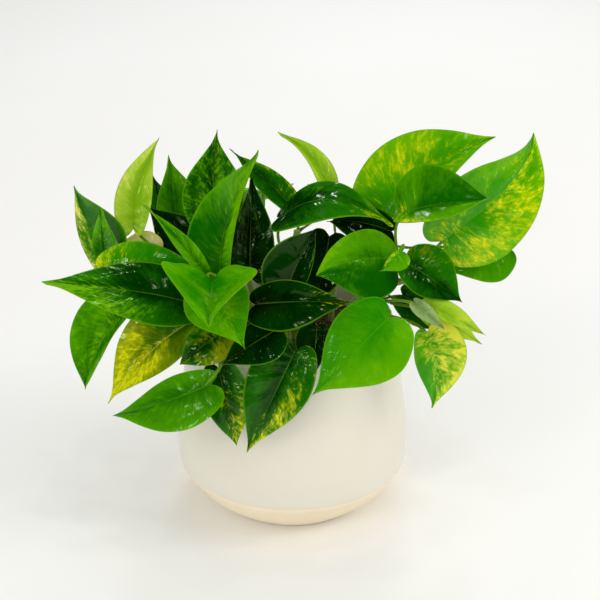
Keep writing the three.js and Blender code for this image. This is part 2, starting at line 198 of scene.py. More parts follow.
def smooth_through(values, t):
    """A smooth curve through evenly spaced numbers, at t from 0 to 1."""
    place = min(max(t, 0), 1) * (len(values) - 1)
    i = min(int(place), len(values) - 2)
    w = place - i
    before = values[max(i - 1, 0)]
    start = values[i]
    end = values[i + 1]
    after = values[min(i + 2, len(values) - 1)]
    slope_in = (end - before) / 2
    slope_out = (after - start) / 2
    cubic = 2 * start - 2 * end + slope_in + slope_out
    square = -3 * start + 3 * end - 2 * slope_in - slope_out
    return cubic * w**3 + square * w**2 + slope_in * w + start


def smooth_line(points, steps):
    """The outline again with more points, on a smooth curve through the few that are given."""
    shares = [k / steps for k in range(steps + 1)]
    rounds, heights = zip(*points)
    return [(smooth_through(rounds, t), smooth_through(heights, t)) for t in shares]


def turn(bm, outline):
    """Turns an outline of radius and height, in millimetres, once about the upright axis."""
    line = [bm.verts.new((r * MM, 0, z * MM)) for r, z in outline]
    edges = [bm.edges.new(pair) for pair in zip(line, line[1:])]
    bmesh.ops.spin(
        bm, geom=line + edges, cent=(0, 0, 0), axis=(0, 0, 1), angle=2 * math.pi,
        steps=SPIN_STEPS, use_merge=True, dvec=(0, 0, 0),
    )
    bmesh.ops.remove_doubles(bm, verts=bm.verts, dist=1e-6)
    bmesh.ops.recalc_face_normals(bm, faces=bm.faces)


# %% [markdown]
# The pot has two finishes. A warm white glaze covers it from the rim down to just under the widest place,
# and below that line the clay is bare, sandy and matt. They could be two materials on two sets of faces,
# but then the line between them would be ruled. So both are one material: the height of a point picks the
# finish, and a little noise makes the line waver.

# %% Glaze and bare clay
GLAZE_LINE = 34 * MM
GLAZE_WAVER = 1.6 * MM
GLAZE_EDGE = 0.9 * MM
GLAZE_POOL = 9 * MM
WHITE_GLAZE = paint(231, 227, 211)
CREAM_GLAZE = paint(226, 220, 202)
POOLED_GLAZE = paint(228, 217, 196)
PALE_CLAY = paint(250, 236, 208)
DARK_CLAY = paint(242, 226, 198)
CLAY_SPECK = paint(180, 150, 128)
pot_finish = Finish("pot_glaze_and_clay")
place = pot_finish.place()
_, _, height = pot_finish.parts(place)
line = height + GLAZE_WAVER * pot_finish.noise(place, 22, 2)
glazed = pot_finish.step(line, GLAZE_LINE, GLAZE_LINE + GLAZE_EDGE)
pooled = pot_finish.step(line, GLAZE_LINE + GLAZE_POOL, GLAZE_LINE)
cloud = pot_finish.noise(place, 14, 3)
glaze = pot_finish.mix(cloud, WHITE_GLAZE, CREAM_GLAZE)
glaze = pot_finish.mix(pooled * 0.35, glaze, POOLED_GLAZE)
grain = pot_finish.noise(place, 900, 3)
clay = pot_finish.mix(pot_finish.noise(place, 60, 5), PALE_CLAY, DARK_CLAY)
clay = pot_finish.mix(pot_finish.step(grain, 0.66, 0.72) * 0.5, clay, CLAY_SPECK)
peel = pot_finish.noise(place, 120, 2)
pot_finish.set(Base_Color=pot_finish.mix(glazed, clay, glaze))
pot_finish.set(Roughness=0.8 - 0.5 * glazed + 0.06 * cloud)
pot_finish.set(Coat_Weight=0.25 * glazed, Coat_Roughness=0.12)
pot_finish.bump(grain * (1 - glazed) + 0.35 * peel * glazed + 2.5 * glazed, 0.35, 0.2 * MM)
print("pot finish nodes:", len(pot_finish.nodes))

# %% The pot
pot_bm = bmesh.new()
outside = smooth_line([POT_FOOT[-1], *POT_OUTSIDE], OUTSIDE_STEPS)[1:]
inside = smooth_line(POT_INSIDE, INSIDE_STEPS)
floor_height = POT_INSIDE[-1][1]
turn(pot_bm, [*POT_FOOT, *outside, *POT_RIM, *inside, (0, floor_height)])
pot = piece_from(pot_bm, "glazed_pot", pot_finish, "pot")
print("pot faces:", len(pot.data.polygons))

# %% [markdown]
# Potting mix is a dark bed of bark, peat and grit. Bump alone would leave the bed flat where it meets the
# pot and the vines. So the top of the turned bed is pushed up and down by noise, and about a thousand
# loose crumbs lie on it. Each crumb is a small ball with few faces, squashed and turned at random from a
# fixed seed.

# %% Soil finish
PEAT = paint(34, 22, 15)
BARK = paint(92, 66, 45)
FIBRE = paint(128, 98, 70)
PALE_GRIT = paint(214, 205, 190)
DARK_GRIT = paint(150, 132, 110)
soil_finish = Finish("potting_mix")
place = soil_finish.place()
coarse = soil_finish.noise(place, 160, 6)
fine = soil_finish.noise(place, 700, 4)
earth = soil_finish.mix(coarse, PEAT, BARK)
earth = soil_finish.mix(soil_finish.step(fine, 0.6, 0.72), earth, FIBRE)
soil_finish.set(Base_Color=earth, Roughness=0.85 + 0.1 * fine)
soil_finish.bump(coarse + 0.5 * fine, 0.8, 1.2 * MM)
print("soil finish nodes:", len(soil_finish.nodes))

grit_finish = Finish("pale_grit")
place = grit_finish.place()
cloud = grit_finish.noise(place, 300, 4)
grit_finish.set(Base_Color=grit_finish.mix(cloud, PALE_GRIT, DARK_GRIT))
grit_finish.set(Roughness=0.8 + 0.1 * grit_finish.noise(place, 500, 2))
print("grit finish nodes:", len(grit_finish.nodes))

# %% The soil's bed
SOIL_TOP = 130
SOIL_MOUND = 2.5
SOIL_LUMPS = 1.3
BROAD_LUMPS = 0.11
SMALL_LUMPS = 0.33
SOIL_EDGE = 1.2
SOIL_RADIUS = 73.4
SOIL_RINGS = 60
SOIL_WALL = [(74.2, 126), (78, 100), (83, 50), (78.5, 30), (69.5, 18), (51.7, 8.4), (0, 8.4)]


def soil_height(x, y):
    """Height of the bed at a place, in millimetres. Lumps are noise, given as its steps in a millimetre."""
    share = min(math.hypot(x, y) / SOIL_RADIUS, 1)
    broad = noise.noise(Vector((x, y, 0)) * BROAD_LUMPS)
    lump = broad + 0.5 * noise.noise(Vector((x, y, 7)) * SMALL_LUMPS)
    mound = SOIL_MOUND * (1 - share**2)
    return SOIL_TOP + mound + SOIL_LUMPS * lump * (1 - share**6) - SOIL_EDGE * share**8


soil_bm = bmesh.new()
bed = [(SOIL_RADIUS * k / SOIL_RINGS, SOIL_TOP) for k in range(SOIL_RINGS + 1)]
turn(soil_bm, bed + SOIL_WALL)
for vert in soil_bm.verts:
    if vert.co.z > (SOIL_TOP - 0.1) * MM:
        vert.co.z = soil_height(vert.co.x / MM, vert.co.y / MM) * MM
soil = piece_from(soil_bm, "soil_bed", soil_finish, "soil")
print("soil faces:", len(soil.data.polygons))

# %% Loose crumbs
CRUMB_MARGIN = 3
CRUMB_SPANS = ((0.7, 1.5), (0.6, 1.1), (0.4, 0.8))
CRUMB_TILT = 0.5
CRUMB_ROUGH = (0.85, 1.15)


def crumbs(name, finish, count, sizes, seed):
    """Balls spread evenly over the bed; sizes holds their smallest and largest radius in millimetres."""
    draw = random.Random(seed)
    bm = bmesh.new()
    for _ in range(count):
        away = (SOIL_RADIUS - CRUMB_MARGIN) * math.sqrt(draw.random())
        angle = draw.uniform(0, 2 * math.pi)
        x = away * math.cos(angle)
        y = away * math.sin(angle)
        size = draw.uniform(*sizes)
        ball = bmesh.ops.create_icosphere(bm, subdivisions=1, radius=size * MM)["verts"]
        shape = Matrix.Diagonal([draw.uniform(*span) for span in CRUMB_SPANS])
        spun = Matrix.Rotation(draw.uniform(0, 6.3), 3, "Z")
        tilted = Matrix.Rotation(draw.uniform(-CRUMB_TILT, CRUMB_TILT), 3, "X")
        for vert in ball:
            vert.co = spun @ tilted @ shape @ vert.co * draw.uniform(*CRUMB_ROUGH)
        spot = Vector((x, y, soil_height(x, y) + 0.2 * size)) * MM
        bmesh.ops.translate(bm, verts=ball, vec=spot)
    piece = piece_from(bm, name, finish, None)
    for face in piece.data.polygons:
        face.use_smooth = False
    return piece


bark = crumbs("bark_crumbs", soil_finish, count=900, sizes=(0.8, 2.6), seed=11)
grit = crumbs("grit_crumbs", grit_finish, count=90, sizes=(0.6, 1.5), seed=12)
print("crumb faces:", len(bark.data.polygons) + len(grit.data.polygons))

# %% [markdown]
# A vine rises from the soil, leans over and carries its leaves one after another. Each vine is a foot in
# the soil and a curve given by four points, as in the part: over its foot where it starts to bend, the
# height that it first leans to, the point that bends it on, and its end. It could be drawn freehand, but
# four points are easy to read and to move. Its leaves are named from the lowest to the last.

# %% The vines
VINE_RADIUS = 2.6
VINE_FOOT = 110
VINE_BEND = 134
FIRST_LEAF = 0.35
VINES = {
    "left": ((-42, -6), 178, (-74, -4, 186), (-112, -10, 190), [
        "yellow_roof", "back_far_left", "left_fold", "cream_back", "lime_up", "left_small", "left_up",
    ]),
    "left_front": ((-40, -36), 160, (-46, -40, 162), (-50, -44, 170), [
        "low_left", "mottled", "left_gold", "far_left",
    ]),
    "front": ((-24, -28), 170, (-32, -40, 184), (-46, -50, 198), [
        "below_scoop", "diag", "tall", "scoop",
    ]),
    "left_back": ((-28, 14), 185, (-46, 16, 200), (-62, 18, 206), [
        "back_low_left", "back_mid_left", "inner_left", "top_spike", "back_left", "back_dark_a",
        "back_dark_b",
    ]),
    "centre": ((0, -6), 185, (0, -14, 205), (4, -16, 222), [
        "behind_tall", "inner_mid", "centre_dark", "roof_centre", "top_diag", "top_lime",
    ]),
    "centre_front": ((-2, -38), 165, (-6, -50, 172), (-8, -58, 180), [
        "inner_right", "narrow_low", "stripe_low", "round_dark", "bright_tip",
    ]),
    "right": ((38, -14), 178, (62, -30, 186), (84, -42, 196), [
        "dark_under", "two_tone", "heart", "grey_under", "lime_low", "centre_broad", "right_small",
        "olive_long", "hook", "right_dark", "right_big",
    ]),
    "right_back": ((30, 22), 185, (46, 22, 205), (62, 18, 214), [
        "back_low_right", "back_mid_right", "right_back", "inner_top", "back_right", "right_under",
    ]),
}

# %% Vine curves
def bezier(points, u):
    w = 1 - u
    a, b, c, d = points
    return a * w**3 + b * (3 * w * w * u) + c * (3 * w * u * u) + d * u**3


def slope(points, u):
    w = 1 - u
    a, b, c, d = points
    return (b - a) * (3 * w * w) + (c - b) * (6 * w * u) + (d - c) * (3 * u * u)


def bent_part(vine):
    foot, lift, second, end, _ = vine
    return [Vector((*foot, VINE_BEND)), Vector((*foot, lift)), Vector(second), Vector(end)]


def leaf_places(vine):
    """Where on the bent part each leaf of a vine stands, from 0 to 1."""
    *_, names = vine
    gap = (1 - FIRST_LEAF) / (len(names) - 1)
    return {name: FIRST_LEAF + gap * k for k, name in enumerate(names)}


print("leaves on the vines:", sum(len(leaf_places(vine)) for vine in VINES.values()))

# %% [markdown]
# Stems and leaf stalks are rods that follow a line and change in thickness. A curve with a bevel would do
# for an even rod. Here a circle is extruded from point to point, because each ring can then have its own
# radius: it is moved to the next point, turned with the line and scaled. The ends are filled.

# %% Rods
def rod(bm, line, radii, sides):
    """Extrudes a ring along the points of a line, in millimetres, and closes both ends."""
    across = (line[1] - line[0]).orthogonal().normalized()
    ring = bmesh.ops.create_circle(bm, segments=sides, radius=1)["verts"]
    edges = list({edge for vert in ring for edge in vert.link_edges})
    made = list(ring)
    first_edges = edges
    for k, (point, radius) in enumerate(zip(line, radii)):
        if k:
            grown = bmesh.ops.extrude_edge_only(bm, edges=edges)["geom"]
            ring = [g for g in grown if isinstance(g, bmesh.types.BMVert)]
            edges = [g for g in grown if isinstance(g, bmesh.types.BMEdge)]
            made += ring
        before = line[max(k - 1, 0)]
        after = line[min(k + 1, len(line) - 1)]
        along = (after - before).normalized()
        across = (across - along * across.dot(along)).normalized()
        aside = along.cross(across)
        for n, vert in enumerate(ring):
            angle = 2 * math.pi * n / sides
            vert.co = (point + radius * (math.cos(angle) * across + math.sin(angle) * aside)) * MM
    bmesh.ops.contextual_create(bm, geom=first_edges)
    bmesh.ops.contextual_create(bm, geom=edges)
    faces = list({face for vert in made for face in vert.link_faces})
    bmesh.ops.recalc_face_normals(bm, faces=faces)
    return made


# %% [markdown]
# A vine is pale green and a little waxy, with fine lengthwise streaks, and it swells a little at each
# leaf. Old stretches near the soil go brown. One finish serves all eight: height alone tells old from
# young.

# %% Vine finish
BROWN_BELOW = 136 * MM
GREEN_ABOVE = 160 * MM
AGE_WAVER = 10 * MM
DARK_STEM = paint(122, 158, 66)
PALE_STEM = paint(160, 186, 92)
OLD_STEM = paint(122, 104, 62)
vine_finish = Finish("green_vine")
place = vine_finish.place()
x, y, height = vine_finish.parts(place)
streak = vine_finish.noise(vine_finish.vector(x, y, height * 0.2), 420, 3)
green = vine_finish.mix(streak, DARK_STEM, PALE_STEM)
line = height + AGE_WAVER * vine_finish.noise(place, 60, 2)
old = vine_finish.step(line, GREEN_ABOVE, BROWN_BELOW)
vine_finish.set(Base_Color=vine_finish.mix(old * 0.6, green, OLD_STEM))
vine_finish.set(Roughness=0.42 + 0.15 * streak, Coat_Weight=0.2, Coat_Roughness=0.25)
vine_finish.bump(streak, 0.3, 0.3 * MM)
print("vine finish nodes:", len(vine_finish.nodes))

# %% The eight vines
VINE_RINGS = 64
VINE_SIDES = 14
VINE_THINS = 0.12
KNOT = 0.45
KNOT_REACH = 0.018
VINE_TIP = ((0.8, 0.8), (1.4, 0.45))


def vine_piece(name, vine):
    """KNOT is a knot's height and KNOT_REACH its reach along the vine; VINE_TIP rounds off the end."""
    points = bent_part(vine)
    knots = leaf_places(vine).values()
    foot = points[0].copy()
    foot.z = VINE_FOOT
    line = [foot, (foot + points[0]) / 2]
    radii = [VINE_RADIUS, VINE_RADIUS]
    for k in range(VINE_RINGS + 1):
        u = k / VINE_RINGS
        swell = max(math.exp(-(((u - knot) / KNOT_REACH) ** 2)) for knot in knots)
        line.append(bezier(points, u))
        radii.append(VINE_RADIUS * (1 - VINE_THINS * u) + KNOT * swell)
    for reach, share in VINE_TIP:
        line.append(points[3] + slope(points, 1).normalized() * reach)
        radii.append(VINE_RADIUS * share)
    bm = bmesh.new()
    rod(bm, line, radii, VINE_SIDES)
    return piece_from(bm, f"green_vine_{name}", vine_finish, f"vine_{name}")


vines = [vine_piece(name, vine) for name, vine in VINES.items()]
print("vines:", len(vines))

# %% [markdown]
# A leaf blade is a heart drawn out to a tip. Fifty blades could be shaped one by one, but they all grew
# from one plan, so one outline serves them all. It gives half a blade as shares of its length and width,
# and says where the side vein to each point leaves the midrib. One row of the table below gives a leaf
# its base, tip, the way it faces, twice the width of its left and right half, the rise and sway of its
# midrib, the fold and curl of its two halves in degrees, and how far its tip is drawn out.

# %% The leaves
OUTLINE = [
    (0, 0, 0), (-0.07, 0.13, 0.012), (-0.045, 0.3, 0.035), (0.1, 0.44, 0.09), (0.3, 0.5, 0.18),
    (0.52, 0.43, 0.33), (0.72, 0.265, 0.53), (0.87, 0.105, 0.74), (0.95, 0.035, 0.89), (1, 0, 1),
]
STALK_BOW = {
    "low_left": (0, -4, 16),
    "narrow_low": (0, 0, 12),
    "scoop": (-12, 12, 8),
    "hook": (4, 18, 4),
    "stripe_low": (-10, 0, 0),
    "right_under": (-40, 8, -4),
    "lime_low": (0, -4, 0),
    "olive_long": (5, 0, -4),
    "left_small": (0, -3, -3),
}
LEAVES = {
    "far_left": ((-70, -62, 187), (-167, -80, 211), (0.05, -0.62, 0.78), (44, 46),
        (12, 2), (0, 0), (4, 14), (-20, -15), 0.35),
    "left_fold": ((-120, -40, 170), (-148, -60, 118), (-0.75, -0.62, 0.25), (30, 64),
        (4, 3), (-8, -5), (20, 20), (-10, -10), 0.2),
    "left_gold": ((-71, -55, 169), (-130, -74, 114), (-0.25, -0.85, 0.45), (45, 54),
        (4, 4), (-7, -4), (30, 5), (0, 0), 0.5),
    "low_left": ((-54, -98, 143), (-124, -92, 115), (0.08, -0.87, 0.5), (47, 30),
        (6, 2), (2, 4), (20, 6), (-20, -12), 0.3),
    "mottled": ((-45, -76, 174), (-76, -91, 154), (0, -0.85, 0.5), (34, 30),
        (4, 2), (0, 0), (10, 10), (0, 0), -0.3),
    "yellow_roof": ((-131, -43, 202), (-67, -40, 208), (-0.05, -0.8, 0.6), (39, 23),
        (6, 4), (0, 0), (10, 10), (-10, -10), 0),
    "left_up": ((-138, -12, 195), (-156, 0, 251), (-0.35, -0.85, -0.1), (19, 65),
        (-3, 2), (0, 0), (30, 10), (0, 0), 0.1),
    "left_small": ((-132, -25, 203), (-134, -25, 243), (-0.2, -0.95, 0.1), (17, 28),
        (0, 0), (0, 0), (25, 20), (0, 0), 0.3),
    "cream_back": ((-97, -6, 202), (-129, -8, 207), (0, -0.6, 0.8), (15, 27),
        (5, 5), (0, 0), (12, 12), (0, 0), 0.3),
    "lime_up": ((-114, -8, 221), (-94, 8, 284), (0.3, -0.9, 0), (34, 24),
        (-6, -4), (6, 5), (20, 35), (-10, -10), 0.5),
    "diag": ((-57, -46, 199), (-103, -36, 251), (0.62, -0.2, 0.6), (20, 17),
        (3, 2), (0, 0), (10, 10), (0, 0), 0.3),
    "back_dark_a": ((-84, 20, 201), (-92, 44, 260), (0.1, -0.95, 0.1), (31, 44),
        (-5, -6), (0, 0), (20, 20), (-10, -10), 0.5),
    "back_dark_b": ((-91, 36, 201), (-107, 50, 243), (-0.2, -0.9, 0.2), (23, 28),
        (-3, -4), (0, 0), (15, 15), (0, 0), 0.3),
    "scoop": ((-53, -76, 210), (-52, -134, 203), (0, -0.35, 0.93), (73, 82),
        (-8, 4), (0, 0), (38, 44), (-8, -10), 0.2),
    "below_scoop": ((-58, -68, 201), (-30, -108, 174), (0, -0.62, 0.78), (45, 45),
        (8, 8), (0, 0), (8, 8), (-12, -12), 0.5),
    "tall": ((-50, -33, 190), (-23, -11, 281), (0.1, -0.98, 0.05), (51, 20),
        (-8, -4), (13, 5), (8, 55), (-12, -10), 0.3),
    "behind_tall": ((-30, -18, 188), (-28, 0, 258), (0.3, -0.92, 0.1), (40, 36),
        (-4, 0), (0, 0), (25, 25), (0, 0), 0.3),
    "top_spike": ((-59, -2, 222), (-54, 26, 285), (0, -0.98, 0.05), (45, 47),
        (-4, -4), (0, 0), (20, 20), (-12, -12), 0.8),
    "top_diag": ((5, 6, 227), (-46, 34, 268), (0.3, -0.3, 0.9), (31, 28),
        (4, 2), (0, 0), (10, 5), (0, 0), 0.4),
    "top_lime": ((28, 16, 238), (-10, 30, 282), (0.6, -0.7, -0.1), (16, 20),
        (4, 2), (-9, -7), (30, 30), (0, 0), 0.4),
    "roof_centre": ((-7, -34, 241), (70, -48, 238), (0, -0.15, 0.99), (58, 50),
        (24, 20), (0, 0), (3, -3), (-10, -10), 0.2),
    "centre_dark": ((-3, -57, 194), (17, -50, 237), (0.1, -0.95, 0.25), (45, 22),
        (4, 4), (3, 2), (12, 12), (-8, -8), -0.7),
    "bright_tip": ((-24, -84, 196), (44, -106, 207), (0, -0.75, 0.66), (30, 40),
        (8, 5), (0, 0), (20, 4), (-15, -10), 0.9),
    "centre_broad": ((70, -42, 212), (17, -68, 210), (0.12, -0.88, 0.45), (58, 41),
        (8, 3), (-4, -7), (6, 6), (-12, -12), -0.8),
    "heart": ((66, -88, 189), (14, -114, 143), (-0.05, -0.86, 0.5), (63, 51),
        (4, 2), (0, 0), (5, 5), (-6, -6), 0.55),
    "two_tone": ((95, -62, 165), (100, -70, 108), (0.2, -0.95, 0.2), (45, 31),
        (4, 1), (7, 5), (8, 14), (-8, -8), 0),
    "right_big": ((108, -20, 216), (171, 4, 289), (0.2, -0.9, 0.4), (64, 76),
        (4, 2), (-4, -22), (22, -4), (-8, -8), -0.4),
    "right_dark": ((77, -30, 242), (137, -36, 254), (-0.05, -0.8, 0.6), (63, 38),
        (8, 6), (0, 0), (2, 42), (-8, 0), 0.1),
    "right_back": ((62, 6, 227), (150, 34, 277), (-0.1, -0.95, 0.3), (68, 36),
        (6, 6), (10, 9), (6, 10), (-8, -8), 0.2),
    "right_under": ((158, 14, 199), (114, 2, 182), (0, -0.75, 0.65), (47, 22),
        (4, 4), (0, 0), (5, 5), (-10, -10), 0.2),
    "olive_long": ((80, -49, 212), (119, -57, 185), (0.2, -0.85, 0.45), (43, 31),
        (5, 2), (0, 0), (12, 12), (-10, -10), 0.2),
    "lime_low": ((93, -50, 178), (135, -56, 152), (0.1, -0.85, 0.5), (21, 20),
        (3, 2), (0, 0), (10, 10), (-6, -6), 0.6),
    "right_small": ((95, -60, 185), (135, -68, 165), (0.15, -0.85, 0.5), (18, 12),
        (2, 2), (0, 0), (10, 10), (-6, -6), 0.5),
    "hook": ((75, -66, 227), (60, -72, 215), (-0.2, -0.9, 0.35), (21, 7),
        (3, 1), (0, 0), (10, 20), (0, 0), 0.4),
    "grey_under": ((84, -70, 191), (105, -76, 174), (0.2, -0.9, 0.4), (11, 12),
        (0, 0), (0, 0), (10, 10), (0, 0), 0),
    "dark_under": ((79, -32, 180), (117, -42, 156), (0.1, -0.85, 0.5), (25, 31),
        (3, 2), (0, 0), (8, 8), (0, 0), 0.2),
    "stripe_low": ((3, -90, 165), (-31, -104, 92), (-0.05, -0.95, 0.3), (45, 47),
        (4, 2), (0, 0), (8, 8), (-6, -6), 0.4),
    "narrow_low": ((-50, -84, 148), (-38, -99, 95), (0, -0.97, 0.2), (34, 30),
        (3, 2), (0, 0), (8, 8), (0, 0), -0.4),
    "round_dark": ((-10, -90, 180), (-46, -106, 162), (0, -0.75, 0.65), (36, 26),
        (4, 3), (0, 0), (6, 6), (-6, -6), 0),
    "inner_right": ((18, -74, 175), (14, -88, 141), (0.2, -0.93, 0.3), (19, 30),
        (0, 0), (0, 0), (10, 10), (0, 0), 0.2),
    "inner_left": ((-64, 7, 189), (-107, 18, 229), (0, -0.85, 0.5), (40, 38),
        (6, 4), (0, 0), (10, 10), (0, 0), 0.3),
    "inner_mid": ((27, -20, 220), (17, -44, 176), (0.05, -0.9, 0.4), (37, 38),
        (4, 4), (0, 0), (10, 10), (0, 0), 0),
    "inner_top": ((72, -8, 219), (25, -4, 225), (0, -0.6, 0.8), (38, 29),
        (8, 8), (0, 0), (5, 5), (0, 0), 0),
    "back_left": ((-56, 54, 206), (-92, 100, 168), (-0.4, 0.6, 0.7), (54, 54),
        (10, 2), (0, 0), (12, 12), (0, 0), 0.3),
    "back_mid_left": ((-22, 56, 226), (-34, 116, 190), (-0.1, 0.65, 0.75), (56, 56),
        (12, 2), (0, 0), (12, 12), (0, 0), 0.3),
    "back_mid_right": ((34, 54, 226), (50, 114, 188), (0.1, 0.65, 0.75), (56, 56),
        (12, 2), (0, 0), (12, 12), (0, 0), 0.3),
    "back_right": ((86, 40, 216), (122, 86, 180), (0.4, 0.6, 0.7), (52, 52),
        (10, 2), (0, 0), (12, 12), (0, 0), 0.3),
    "back_far_left": ((-104, 14, 196), (-150, 34, 150), (-0.6, 0.4, 0.7), (46, 46),
        (8, 2), (0, 0), (12, 12), (0, 0), 0.3),
    "back_low_left": ((-44, 82, 168), (-62, 104, 112), (-0.3, 0.9, 0.3), (50, 50),
        (6, 2), (0, 0), (12, 12), (0, 0), 0.3),
    "back_low_right": ((26, 88, 168), (34, 112, 108), (0.1, 0.95, 0.3), (52, 52),
        (6, 2), (0, 0), (12, 12), (0, 0), 0.3),
}

# %% [markdown]
# The blade's surface is a formula of two numbers. The first, t, runs along the outline from 0 at the
# notch to 1 at the tip. The second, v, runs across from -1 at the right edge to 1 at the left. Lines of
# equal t run along the side veins, so the same two numbers later carry the markings.

# %% The blade's surface
LEAST_CURL = 0.1


def midrib_of(leaf):
    base, tip, facing, _, rise, sway, *_ = leaf
    base = Vector(base)
    tip = Vector(tip)
    along = (tip - base).normalized()
    side = Vector(facing).cross(along).normalized()
    up = along.cross(side)
    first = base.lerp(tip, 1 / 3) + up * rise[0] + side * sway[0]
    second = base.lerp(tip, 2 / 3) + up * rise[1] + side * sway[1]
    return [base, first, second, tip], up


def blade_point(leaf, midrib, up, t, v):
    """The point of the upper face, in millimetres, and the direction that its face looks in there."""
    _, _, _, width, _, _, fold, curl, taper = leaf
    half = 0 if v > 0 else 1
    out = abs(v)
    edge, reach, start = (smooth_through([row[k] for row in OUTLINE], t) for k in range(3))
    x = start * (1 - out) + edge * out
    on = min(max(x, 0), 1)
    r = 2 * reach * out * (1 - taper * on**4)
    along = slope(midrib, on).normalized()
    side = up.cross(along).normalized()
    normal = along.cross(side)
    bend = math.radians(fold[half])
    turn_in = math.radians(curl[half] or LEAST_CURL)
    radius = width[half] / 2 / turn_in
    sideways = radius * (math.sin(bend + turn_in * r) - math.sin(bend))
    lift = radius * (math.cos(bend) - math.cos(bend + turn_in * r))
    point = bezier(midrib, on) + (midrib[1] - midrib[0]) * (3 * (x - on))
    point += side * math.copysign(sideways, v) + normal * lift
    tilt = bend + turn_in * r
    face = normal * math.cos(tilt) - side * math.copysign(math.sin(tilt), v)
    return point, face


# %% [markdown]
# A real blade isn't smooth. Its edge waves, the tissue swells a little between the side veins, and the
# midrib is a groove above and a rib below. These small shapes are added along the face's own direction,
# and they are only a millimetre or two, so that the blade keeps the form that it has in the part.

# %% The blade's relief
SIDE_VEINS = 9
VEIN_LEAD = 0.013
EDGE_WAVE = 1.3
EDGE_WAVES = 1.6
QUILT = 0.45
GROOVE = 0.35
GROOVE_REACH = 0.05
DIMPLE = 0.9
END_FADE = 12
BLADE_THICKNESS = 0.45
RIB = 0.9
RIB_REACH = 0.06


def relief(t, v, seed):
    """Height above the formula's face, in millimetres."""
    out = abs(v)
    side = 1 if v > 0 else -1
    wave = EDGE_WAVE * out**3 * math.sin(2 * math.pi * (EDGE_WAVES * t + 0.37 * seed + 0.25 * side))
    swell = abs(math.sin(math.pi * SIDE_VEINS * (t + VEIN_LEAD * side)))
    quilt = QUILT * (swell - 0.6) * math.sin(math.pi * min(out * 1.05, 1)) * (1 - t**2)
    groove = -GROOVE * math.exp(-((out / GROOVE_REACH) ** 2)) * (1 - t)
    dimple = DIMPLE * noise.noise(Vector((v * 2.6, t * 5, seed * 1.7))) * min(1, 3 * out)
    fade = min(1, END_FADE * t, END_FADE * (1 - t))
    return (wave + quilt + groove + dimple) * fade


def thickness(t, v):
    rib = RIB * math.exp(-((v / RIB_REACH) ** 2)) * (1 - t) * min(1, 20 * t)
    return BLADE_THICKNESS + rib


# %% [markdown]
# The blade starts as a flat grid made by an operator. Its rows and columns become t and v, with the
# columns packed closer at the midrib. Every point is then moved to its place on the surface. The face is
# extruded once, the copy is pushed down by the blade's thickness, and it becomes the underside. A
# Solidify modifier would give an even thickness, without the rib below the midrib. Three numbers stay on
# the points for the finish: along, across and underside. The edge where the two faces meet is kept sharp.

# %% Blade meshes
ROWS = 54
COLUMNS = 30
COLUMN_PACKING = 1.5


def blade(bm, leaf, midrib, up, seed):
    layers = bm.verts.layers
    along = layers.float["along"]
    across = layers.float["across"]
    underside = layers.float["underside"]
    push = layers.float_vector.new("push")
    sheet = bmesh.ops.create_grid(bm, x_segments=COLUMNS, y_segments=ROWS, size=1)["verts"]
    for vert in sheet:
        t = round((vert.co.y + 1) / 2 * ROWS) / ROWS
        v = 0 if t in (0, 1) else math.copysign(abs(vert.co.x) ** COLUMN_PACKING, vert.co.x)
        point, face = blade_point(leaf, midrib, up, t, v)
        vert[along] = t
        vert[across] = v
        vert[push] = face * (thickness(t, v) * MM)
        vert.co = (point + face * relief(t, v, seed)) * MM
    faces = {face for vert in sheet for face in vert.link_faces}
    edges = {edge for face in faces for edge in face.edges}
    geometry = [*sheet, *edges, *faces]
    grown = bmesh.ops.extrude_face_region(bm, geom=geometry, use_keep_orig=True)["geom"]
    lower = [g for g in grown if isinstance(g, bmesh.types.BMVert)]
    for vert in lower:
        vert.co -= vert[push]
        vert[underside] = 1
    for face_side in (set(sheet), set(lower)):
        for edge in {edge for vert in face_side for edge in vert.link_edges}:
            flat = [face for face in edge.link_faces if face_side.issuperset(face.verts)]
            edge.smooth = len(flat) != 1
    bmesh.ops.remove_doubles(bm, verts=[*sheet, *lower], dist=1e-7)
    layers.float_vector.remove(push)
    bmesh.ops.recalc_face_normals(bm, faces=bm.faces)


# %% [markdown]
# A leaf stalk leaves its vine square to it, bends over and runs into the underside of the midrib. It is a
# little thicker where it clasps the vine and again where it turns into the blade. Blade and stalk grew as
# one piece, so they are one mesh.

# %% Stalks
STALK_SQUARE = 0.35
STALK_STRAIGHT = 0.3
STALK_DEPTH = 1.2
STALK_HOLD = 7
STALK_RINGS = 26
STALK_SIDES = 10
STALK_RADIUS = 1.05
CLASP = 0.9
CLASP_REACH = 0.1
KNEE = 0.28
KNEE_PLACE = 0.86
KNEE_REACH = 0.05
STALK_ENDS = 0.93
STALK_THINS = 0.55


def stalk_line(name, midrib, up):
    """Points from the middle of the vine to the underside of the midrib, in millimetres."""
    vine = next(vine for vine in VINES.values() if name in leaf_places(vine))
    bent = bent_part(vine)
    u = leaf_places(vine)[name]
    root = bezier(bent, u)
    vine_way = slope(bent, u).normalized()
    way = midrib[0] - root
    out = (way - vine_way * way.dot(vine_way)).normalized()
    start = root + out * VINE_RADIUS
    reach = (midrib[0] - start).length
    bow = Vector(STALK_BOW.get(name, (0, 0, 0)))
    length = (midrib[3] - midrib[0]).length
    under = -STALK_DEPTH * up
    first = start + out * (STALK_SQUARE * reach) + (bow - out * bow.dot(out)) / 2
    second = midrib[0] - slope(midrib, 0).normalized() * (STALK_STRAIGHT * reach) + bow + under
    points = [start, first, second, bezier(midrib, STALK_HOLD / length) + under]
    line = [bezier(points, k / STALK_RINGS) for k in range(STALK_RINGS + 1)]
    return [root + out * (0.5 * VINE_RADIUS), *line]


